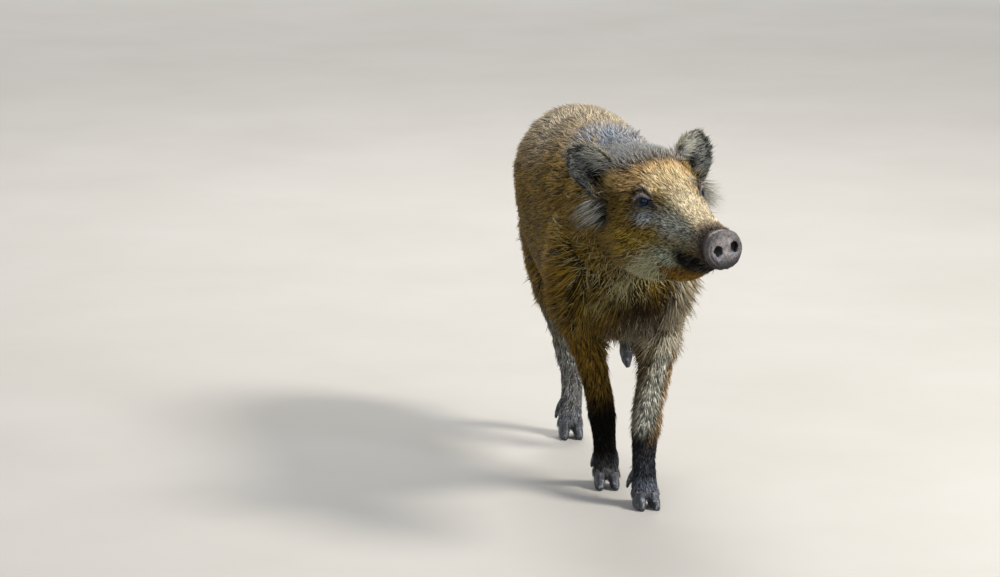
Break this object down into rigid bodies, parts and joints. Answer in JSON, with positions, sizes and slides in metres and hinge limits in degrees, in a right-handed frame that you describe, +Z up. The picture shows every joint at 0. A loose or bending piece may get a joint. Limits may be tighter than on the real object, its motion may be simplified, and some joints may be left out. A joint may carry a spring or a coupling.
{
  "type": "young wild boar",
  "caption": "Life-size still model of a young wild boar in mid step, head turned to its left and one hind leg lifted, with a coarse rufous coat and a bare snout disc.",
  "frame": {"origin": "on the floor, under the middle of the whole boar's bounding box", "axes": "+Z up, the boar faces -Y, its left side is +X"},
  "size_m": [0.2038, 0.7716, 0.4927],
  "materials": {
    "ear": "thin dark grey skin with sparse pale hair and a buff fringe",
    "eye": "near-black, wet and glossy",
    "hoof": "dark blue-grey horn, worn dull",
    "coat_leg": "short dark brown to black hair",
    "coat_body": "coarse bristly coat, dark at the roots and rufous buff at the tips, greyer over the nape and rump",
    "coat_face": "short close coat, orange buff on the brow, cream on the bridge of the snout, grey on the cheeks, dark at the mouth",
    "nose": "bare blue-grey skin, dull and pitted, with flecks of dry mud"
  },
  "bodies": {
    "root": {"ear_left": "ear", "ear_right": "ear", "eye_left": "eye", "eye_right": "eye", "foreleg_left_dewclaw_inner": "hoof", "foreleg_left_dewclaw_outer": "hoof", "foreleg_left_foot": "coat_leg", "foreleg_left_hoof_inner": "hoof", "foreleg_left_hoof_outer": "hoof", "foreleg_left_lower": "coat_leg", "foreleg_left_upper": "coat_body", "foreleg_right_dewclaw_inner": "hoof", "foreleg_right_dewclaw_outer": "hoof", "foreleg_right_foot": "coat_leg", "foreleg_right_hoof_inner": "hoof", "foreleg_right_hoof_outer": "hoof", "foreleg_right_lower": "coat_leg", "foreleg_right_upper": "coat_body", "head": "coat_face", "hindleg_left_dewclaw_inner": "hoof", "hindleg_left_dewclaw_outer": "hoof", "hindleg_left_foot": "coat_leg", "hindleg_left_hoof_inner": "hoof", "hindleg_left_hoof_outer": "hoof", "hindleg_left_lower": "coat_leg", "hindleg_left_upper": "coat_body", "hindleg_right_dewclaw_inner": "hoof", "hindleg_right_dewclaw_outer": "hoof", "hindleg_right_foot": "coat_leg", "hindleg_right_hoof_inner": "hoof", "hindleg_right_hoof_outer": "hoof", "hindleg_right_lower": "coat_leg", "hindleg_right_upper": "coat_body", "lower_jaw": "coat_face", "muzzle": "coat_face", "neck": "coat_body", "nose_disc": "nose", "tail": "coat_body", "trunk": "coat_body"}
  },
  "joints": []
}
